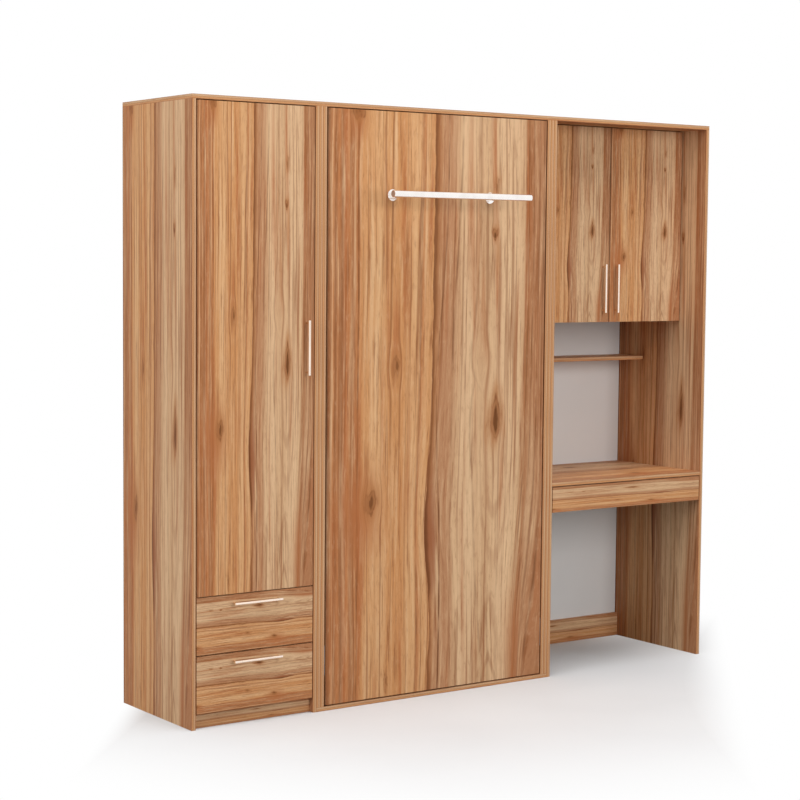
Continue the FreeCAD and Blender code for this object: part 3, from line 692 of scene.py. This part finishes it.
def make_materials():
    """Every material by the short name used below."""
    return {
        "upright_board": board_material("decor_upright"),
        "double_board": board_material("decor_upright_pair", boards=2),
        "turned_board": board_material("decor_turned", turned=True),
        "drawer_board": plain_board("drawer_board_grey", paint(206, 204, 200), paint(190, 188, 184)),
        "back_board": plain_board("back_board_grey", paint(221, 219, 217), paint(216, 214, 212)),
        "slat_wood": slat_material(),
        "bar_metal": metal_material("bar_satin_metal", paint(253, 248, 244), paint(243, 236, 231),
                                    0.09, 0.17),
        "handle_metal": metal_material("handle_satin_metal", paint(253, 236, 219), paint(244, 224, 206),
                                       0.09, 0.17),
        "rail_chrome": metal_material("rail_chrome", paint(214, 214, 214), paint(200, 200, 200), 0.10, 0.2),
        "fitting_steel": metal_material("fitting_zinc", paint(178, 180, 182), paint(150, 152, 156),
                                        0.28, 0.5),
        "frame_steel": coated_metal("frame_coat", paint(92, 94, 97), paint(82, 84, 87), 0.42),
        "strut_black": coated_metal("strut_coat", paint(30, 30, 32), paint(24, 24, 25), 0.3),
        "strut_chrome": metal_material("strut_chrome", paint(220, 220, 222), paint(206, 206, 208),
                                       0.06, 0.14),
        "stop_rubber": rubber_material("stop_rubber_black", paint(38, 38, 38), paint(58, 57, 55)),
        "plug_plastic": rubber_material("plug_plastic", paint(160, 130, 110), paint(150, 122, 104)),
        # The panel cloth's second colour is its darker tone and also the painted shade along the quilting
        # seams
        "panel_cloth": quilted_material("mattress_panel_knit", paint(214, 211, 204), paint(188, 184, 176),
                                        paint(136, 134, 130)),
        "border_cloth": cloth_material("mattress_border_knit", paint(170, 172, 176), paint(146, 148, 152)),
        "piping_cloth": cloth_material("mattress_piping", paint(120, 124, 132), paint(96, 100, 108)),
        "strap_webbing": cloth_material("strap_weave", paint(52, 54, 58), paint(32, 33, 36),
                                        thread=STRAP_THREAD, sheen=0.1),
    }


# Boards whose grain runs level, boards that lie in pairs in one node, nodes that other pieces stand for
TURNED_NODES = (
    "top_panel", "wardrobe_bottom_board", "wardrobe_plinth", "wardrobe_divider", "wardrobe_shelf",
    "bed_bottom_board", "bed_wall_rails", "overhead_bottom_board", "overhead_shelf", "niche_shelf",
    "desk_top", "desk_back_rail", "upper_drawer_front", "lower_drawer_front", "desk_drawer_front",
)
DOUBLE_NODES = ("bed_left_upright", "bed_right_upright")
REPLACED_NODES = ("mattress", "mattress_straps")
# How far the sharp edges are rounded, in millimetres by slot
ROUNDING_MM = {
    "carcass_board": 0.6, "front_board": 0.8, "drawer_board": 0.6, "back_board": 0.3, "slat_wood": 2.0,
    "fitting_steel": 0.4, "frame_steel": 2.0, "stop_rubber": 1.5,
}
ROUNDING_SEGMENTS = 2
SHARP_EDGE_ANGLE = math.radians(50.0)


def round_edges(obj, width_mm):
    """Rounds an object's sharp edges with a modifier."""
    modifier = obj.modifiers.new("edges", "BEVEL")
    modifier.width = width_mm * MILLIMETRE
    modifier.segments = ROUNDING_SEGMENTS
    modifier.limit_method = "ANGLE"
    modifier.angle_limit = SHARP_EDGE_ANGLE


def dress_node(name, slot_name, materials):
    """Gives a CAD node its material and rounds its sharp edges a little."""
    obj = bpy.data.objects[name]
    key = slot_name
    if slot_name in ("carcass_board", "front_board"):
        key = "upright_board"
        if name in TURNED_NODES:
            key = "turned_board"
        elif name in DOUBLE_NODES:
            key = "double_board"
    elif name.endswith("_handle"):
        key = "handle_metal"
    for index in range(len(obj.data.materials)):
        obj.data.materials[index] = materials[key]
    if slot_name in ROUNDING_MM:
        round_edges(obj, ROUNDING_MM[slot_name])


def dress_nodes(materials):
    """Dresses every CAD node that stays in view. A node's slot is the name of the material it came with."""
    for name in sorted(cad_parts):
        slot_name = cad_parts[name].data.materials[0].name.split(".")[0]
        if name not in REPLACED_NODES:
            dress_node(name, slot_name, materials)


# Mesh helpers
def new_object(name, mesh, body, *materials):
    """A piece in the scene, riding a body."""
    obj = bpy.data.objects.new(name, mesh)
    bpy.context.scene.collection.objects.link(obj)
    for material in materials:
        mesh.materials.append(material)
    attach(obj, body)
    return obj


def finished_mesh(name, made):
    """A mesh out of a bmesh, with its faces turned outwards."""
    bmesh.ops.recalc_face_normals(made, faces=made.faces)
    mesh = bpy.data.meshes.new(name)
    made.to_mesh(mesh)
    made.free()
    return mesh


# Mattress
def corner_rounded(point, half_width, half_length):
    """Turns the square corner of the plan into a round one."""
    u = (abs(point.x) - (half_width - MATTRESS_CORNER_RADIUS)) / MATTRESS_CORNER_RADIUS
    v = (abs(point.z) - (half_length - MATTRESS_CORNER_RADIUS)) / MATTRESS_CORNER_RADIUS
    if u <= 0.0 or v <= 0.0:
        return point
    round_u = u * math.sqrt(1.0 - v * v / 2.0)
    round_v = v * math.sqrt(1.0 - u * u / 2.0)
    x = math.copysign(half_width - MATTRESS_CORNER_RADIUS + round_u * MATTRESS_CORNER_RADIUS, point.x)
    z = math.copysign(half_length - MATTRESS_CORNER_RADIUS + round_v * MATTRESS_CORNER_RADIUS, point.z)
    return Vector((x, point.y, z))


def edge_rounded(point, half_width, half_depth, half_length):
    """Rounds the edge between the large faces and the border."""
    radius = MATTRESS_EDGE_RADIUS
    inner = Vector((
        max(-half_width + radius, min(half_width - radius, point.x)),
        max(-half_depth + radius, min(half_depth - radius, point.y)),
        max(-half_length + radius, min(half_length - radius, point.z)),
    ))
    away = point - inner
    sideways = max(abs(away.x), abs(away.z))
    length = math.hypot(sideways, away.y)
    if length <= radius:
        return point
    scale = radius / length
    return inner + away * scale


def mattress_grid():
    """A closed grid over the mattress, and for each point whether a seam or a quilting stitch holds it."""
    halves = mattress_half()
    half_width, half_depth, half_length = halves
    counts = mattress_counts()
    made = bmesh.new()
    points = {}
    held = []

    def point_at(i, j, k):
        key = (i, j, k)
        if key not in points:
            shares = [2.0 * step / count - 1.0 for step, count in zip(key, counts)]
            place = Vector([half * share for half, share in zip(halves, shares)])
            place = edge_rounded(place, half_width, half_depth, half_length)
            points[key] = made.verts.new(corner_rounded(place, half_width, half_length))
            on_face = j in (0, counts[1])
            on_rim = i in (0, counts[0]) or k in (0, counts[2])
            stitched = (i + k) % QUILT_CELLS == 0 or (i - k) % QUILT_CELLS == 0
            held.append((on_face and on_rim) or (on_face and stitched))
        return points[key]

    def sheet(place, count_a, count_b, turn):
        for a in range(count_a):
            for b in range(count_b):
                corners = [place(a, b), place(a + 1, b), place(a + 1, b + 1), place(a, b + 1)]
                made.faces.new(corners[::-1] if turn else corners)

    for end, turn in ((0, False), (counts[1], True)):
        sheet(lambda a, b: point_at(a, end, b), counts[0], counts[2], turn)
    for end, turn in ((0, False), (counts[0], True)):
        sheet(lambda a, b: point_at(end, b, a), counts[2], counts[1], not turn)
    for end, turn in ((0, False), (counts[2], True)):
        sheet(lambda a, b: point_at(a, b, end), counts[0], counts[1], not turn)
    return finished_mesh("mattress_start", made), held


def inflate(mesh, held):
    """Blows the held mesh up as cloth and returns where its points end."""
    obj = bpy.data.objects.new("mattress_start", mesh)
    bpy.context.scene.collection.objects.link(obj)
    group = obj.vertex_groups.new(name="held")
    group.add([index for index, is_held in enumerate(held) if is_held], 1.0, "REPLACE")
    cloth = obj.modifiers.new("cloth", "CLOTH")
    for name, value in CLOTH_SETTINGS.items():
        setattr(cloth.settings, name, value)
    cloth.settings.effector_weights.gravity = 0.0
    cloth.collision_settings.use_collision = False
    scene = bpy.context.scene
    for number in range(1, SIMULATION_FRAMES + 1):
        scene.frame_set(number)
    shown = obj.evaluated_get(bpy.context.evaluated_depsgraph_get())
    ends = [point.co.copy() for point in shown.data.vertices]
    scene.frame_set(1)
    bpy.data.objects.remove(obj)
    return ends


def tube_along(made, points, radius, sides):
    """A closed tube along a loop of points that all have the same Y."""
    rings = []
    count = len(points)
    for index, point in enumerate(points):
        forward = (points[(index + 1) % count] - points[index - 1]).normalized()
        sideways = forward.cross(DEPTH_WAY).normalized()
        ring = []
        for side in range(sides):
            angle = 2.0 * math.pi * side / sides
            offset = sideways * math.cos(angle) + DEPTH_WAY * math.sin(angle)
            ring.append(made.verts.new(point + offset * radius))
        rings.append(ring)
    for index in range(count):
        ring, following = rings[index], rings[(index + 1) % count]
        for side in range(sides):
            after = (side + 1) % sides
            face = made.faces.new((ring[side], ring[after], following[after], following[side]))
            face.smooth = True


def build_mattress(materials):
    """The padded mattress: two quilted faces and a plain border."""
    centre, half = centre_and_half("mattress")
    mesh, held = mattress_grid()
    starts = [point.co.copy() for point in mesh.vertices]
    ends = list(starts)
    ends = inflate(mesh, held)
    for point, start, end in zip(mesh.vertices, starts, ends):
        move = end - start
        if move.length > MATTRESS_LARGEST_MOVE:
            move = move * (MATTRESS_LARGEST_MOVE / move.length)
        place = start + move
        point.co = centre + Vector([max(-limit, min(limit, part)) for part, limit in zip(place, half)])
    pad = new_object("mattress_pad", mesh, "bed", materials["panel_cloth"], materials["border_cloth"])
    for face in mesh.polygons:
        face.use_smooth = True
        if abs(face.normal.y) < BORDER_FACING:
            face.material_index = 1
    finer = pad.modifiers.new("finer", "SUBSURF")
    finer.levels = finer.render_levels = 1
    return pad


def rounded_loop(half_width, half_length, radius, y, step):
    """Points round a rectangle with round corners, all at the same Y."""
    points = []
    for sign_x, sign_z, first_angle in ((1, 1, 0.0), (-1, 1, 90.0), (-1, -1, 180.0), (1, -1, 270.0)):
        corner = Vector((sign_x * (half_width - radius), y, sign_z * (half_length - radius)))
        for part in range(CORNER_PARTS + 1):
            angle = math.radians(first_angle + 90.0 * part / CORNER_PARTS)
            points.append(corner + Vector((math.cos(angle), 0.0, math.sin(angle))) * radius)
    filled = []
    for index, point in enumerate(points):
        following = points[(index + 1) % len(points)]
        parts = max(1, round((following - point).length / step))
        filled += [point.lerp(following, part / parts) for part in range(parts)]
    return filled


def build_piping(materials):
    """A round piping cord sewn along both seams of the mattress."""
    centre, half = centre_and_half("mattress")
    seam = (1.0 - math.sqrt(0.5)) * MATTRESS_EDGE_RADIUS
    made = bmesh.new()
    for way in (-1.0, 1.0):
        y = way * (half.y - MATTRESS_START_INSET - seam + PIPING_RADIUS * PIPING_OUT_SHARE)
        loop = rounded_loop(half.x - seam, half.z - seam, MATTRESS_CORNER_RADIUS - seam, y, MATTRESS_STEP)
        tube_along(made, [centre + point for point in loop], PIPING_RADIUS, PIPING_SIDES)
    mesh = finished_mesh("mattress_piping", made)
    return new_object("mattress_piping", mesh, "bed", materials["piping_cloth"])


# Plugs and straps
def build_bar_plugs(materials):
    """A plain plug in each end of the foot bar."""
    low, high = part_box("foot_bar")
    centre = (low + high) / 2.0
    radius = (high.z - low.z) / 2.0 - BAR_WALL - PLUG_CLEARANCE
    made = bmesh.new()
    for x in (low.x + PLUG_RECESS + PLUG_DEPTH / 2.0, high.x - PLUG_RECESS - PLUG_DEPTH / 2.0):
        place = Matrix.Translation((x, centre.y, centre.z)) @ Matrix.Rotation(math.radians(90.0), 4, "Y")
        bmesh.ops.create_cone(made, cap_ends=True, segments=PLUG_SIDES, radius1=radius, radius2=radius,
                              depth=PLUG_DEPTH, matrix=place)
    mesh = finished_mesh("foot_bar_plugs", made)
    plugs = new_object("foot_bar_plugs", mesh, "bed", materials["plug_plastic"])
    round_edges(plugs, PLUG_ROUNDING_MM)
    return plugs


def strap_path(x_low, x_high, y_start, y_outside, radius):
    """Up one side of the mattress, across it and down the other, as points in X and Y."""
    y_halfway = (y_start + y_outside - radius) / 2.0
    points = [(x_low, y_start), (x_low, y_halfway)]
    for x_corner, first_angle in ((x_low + radius, 180.0), (x_high - radius, 90.0)):
        for part in range(CORNER_PARTS + 1):
            angle = math.radians(first_angle - 90.0 * part / CORNER_PARTS)
            x = x_corner + radius * math.cos(angle)
            points.append((x, y_outside - radius + radius * math.sin(angle)))
    points += [(x_high, y_halfway), (x_high, y_start)]
    return points


def ribbon(made, path, z_low, z_high, thickness):
    """A flat band along a path in X and Y, as wide as from z_low to z_high, its outer face on the path."""
    rim = min(thickness, (z_high - z_low) / 2.0) / 2.0
    outline = ((0.0, z_low + rim), (0.5, z_low), (1.0, z_low + rim), (1.0, z_high - rim), (0.5, z_high),
               (0.0, z_high - rim))
    rows = []
    for index, (x, y) in enumerate(path):
        before = path[max(0, index - 1)]
        after = path[min(len(path) - 1, index + 1)]
        ahead = Vector((after[0] - before[0], after[1] - before[1])).normalized()
        inward = Vector((ahead.y, -ahead.x)) * thickness
        rows.append([made.verts.new((x + inward.x * share, y + inward.y * share, z)) for share, z in outline])
    for row, following in zip(rows, rows[1:]):
        for index in range(len(row)):
            after = (index + 1) % len(row)
            made.faces.new((row[index], row[after], following[after], following[index]))
    made.faces.new(rows[0])
    made.faces.new(rows[-1][::-1])


def build_straps(materials):
    """Two woven straps that hold the mattress in the folded bed."""
    low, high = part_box("mattress_straps")
    path = strap_path(low.x + STRAP_CLEARANCE, high.x - STRAP_CLEARANCE, low.y, high.y, STRAP_CORNER_RADIUS)
    made = bmesh.new()
    for z_low in (low.z, high.z - STRAP_WIDTH):
        ribbon(made, path, z_low, z_low + STRAP_WIDTH, STRAP_THICKNESS)
    mesh = finished_mesh("mattress_strap_pair", made)
    return new_object("mattress_strap_pair", mesh, "bed", materials["strap_webbing"])


# Camera, light and floor
def build_camera():
    """The photograph's own viewpoint."""
    forward = Vector((math.sin(CAMERA_YAW) * math.cos(CAMERA_PITCH),
                      math.cos(CAMERA_YAW) * math.cos(CAMERA_PITCH), math.sin(CAMERA_PITCH)))
    right = Vector((math.cos(CAMERA_YAW), -math.sin(CAMERA_YAW), 0.0))
    up = right.cross(forward)
    rolled_right = right * math.cos(CAMERA_ROLL) + up * math.sin(CAMERA_ROLL)
    rolled_up = up * math.cos(CAMERA_ROLL) - right * math.sin(CAMERA_ROLL)
    turn = Matrix((rolled_right, rolled_up, -forward)).transposed()
    data = bpy.data.cameras.new("camera")
    data.sensor_width = SENSOR_MM
    data.lens = SENSOR_MM * FOCAL_LENGTH_PIXELS / PICTURE_PIXELS
    data.clip_end = CAMERA_REACH
    camera = bpy.data.objects.new("camera", data)
    camera.matrix_world = Matrix.Translation(CAMERA_PLACE) @ turn.to_4x4()
    bpy.context.scene.collection.objects.link(camera)
    bpy.context.scene.camera = camera


def area_light(name, place, side, power):
    """A soft square lamp aimed at the unit."""
    data = bpy.data.lights.new(name, "AREA")
    data.size = side
    data.energy = power
    lamp = bpy.data.objects.new(name, data)
    lamp.location = place
    lamp.visible_glossy = False
    lamp.rotation_euler = (LIGHT_TARGET - place).to_track_quat("-Z", "Y").to_euler()
    bpy.context.scene.collection.objects.link(lamp)


def white_for_camera(tree):
    """A wire that is 1 for camera, glossy and transmission rays."""
    path = tree.nodes.new("ShaderNodeLightPath")
    seen = Wire(tree, path.outputs["Is Camera Ray"])
    seen = seen.math("MAXIMUM", Wire(tree, path.outputs["Is Glossy Ray"]))
    return seen.math("MAXIMUM", Wire(tree, path.outputs["Is Transmission Ray"]))


def build_world():
    """Even white light from all round, and a white background."""
    world = bpy.data.worlds.new("studio")
    bpy.context.scene.world = world
    world.use_nodes = True
    tree = world.node_tree
    tree.nodes.clear()
    blend = tree.nodes.new("ShaderNodeMixShader")
    for strength, socket in ((AMBIENT_STRENGTH, blend.inputs[1]), (1.0, blend.inputs[2])):
        node = tree.nodes.new("ShaderNodeBackground")
        node.inputs["Color"].default_value = WHITE
        node.inputs["Strength"].default_value = strength
        tree.links.new(node.outputs[0], socket)
    plug(tree, white_for_camera(tree), blend.inputs["Fac"])
    output = tree.nodes.new("ShaderNodeOutputWorld")
    tree.links.new(blend.outputs[0], output.inputs["Surface"])


def build_floor():
    """A pale floor that fades into the white background away from the unit."""
    mesh = bpy.data.meshes.new("studio_floor")
    reach = FLOOR_HALF_SIDE
    mesh.from_pydata([(-reach, -reach, 0.0), (reach, -reach, 0.0), (reach, reach, 0.0), (-reach, reach, 0.0)],
                     [], [(0, 1, 2, 3)])
    floor = bpy.data.objects.new("studio_floor", mesh)
    floor.location.z = FLOOR_HEIGHT
    bpy.context.scene.collection.objects.link(floor)
    material, tree, shader = new_material("studio_floor", Roughness=0.9, Specular_IOR_Level=0.1)
    place = coordinates(tree, "Object")
    x, y, _ = split(tree, place)
    distance = (x * x + y * y).math("SQRT")
    mottle = noise(tree, place, scale=1.5, detail=3.0)
    tone = mix(tree, mottle.smooth(0.35, 0.65), paint(214, 214, 215), paint(211, 211, 212))
    bouncing = tree.nodes.new("ShaderNodeLightPath").outputs["Is Diffuse Ray"]
    tree.links.new(mix(tree, bouncing, tone, FLOOR_BOUNCE_COLOUR), shader.inputs["Base Color"])
    white = tree.nodes.new("ShaderNodeEmission")
    white.inputs["Strength"].default_value = 1.0
    blend = tree.nodes.new("ShaderNodeMixShader")
    fade = distance.smooth(*FLOOR_FADE_AWAY).math("MAXIMUM", y.smooth(*FLOOR_FADE_BEHIND))
    for way, stretch in ((FLOOR_LEFT_WAY, FLOOR_FADE_LEFT), (FLOOR_RIGHT_WAY, FLOOR_FADE_RIGHT)):
        fade = fade.math("MAXIMUM", (x * way[0] + y * way[1]).smooth(*stretch))
    fade = fade * white_for_camera(tree)
    plug(tree, fade, blend.inputs["Fac"])
    tree.links.new(shader.outputs[0], blend.inputs[1])
    tree.links.new(white.outputs[0], blend.inputs[2])
    output = next(node for node in tree.nodes if node.type == "OUTPUT_MATERIAL")
    tree.links.new(blend.outputs[0], output.inputs["Surface"])
    mesh.materials.append(material)


def build_all():
    """Camera, light, floor, and every piece."""
    build_camera()
    build_world()
    build_floor()
    for name, (place, side, power) in LAMPS.items():
        area_light(name, place, side, power)
    materials = make_materials()
    dress_nodes(materials)
    pad = build_mattress(materials)
    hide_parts("mattress")
    build_piping(materials)
    build_bar_plugs(materials)
    straps = build_straps(materials)
    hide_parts("mattress_straps")
    bpy.context.scene.view_settings.view_transform = "Standard"


build_all()
bpy.context.view_layer.update()
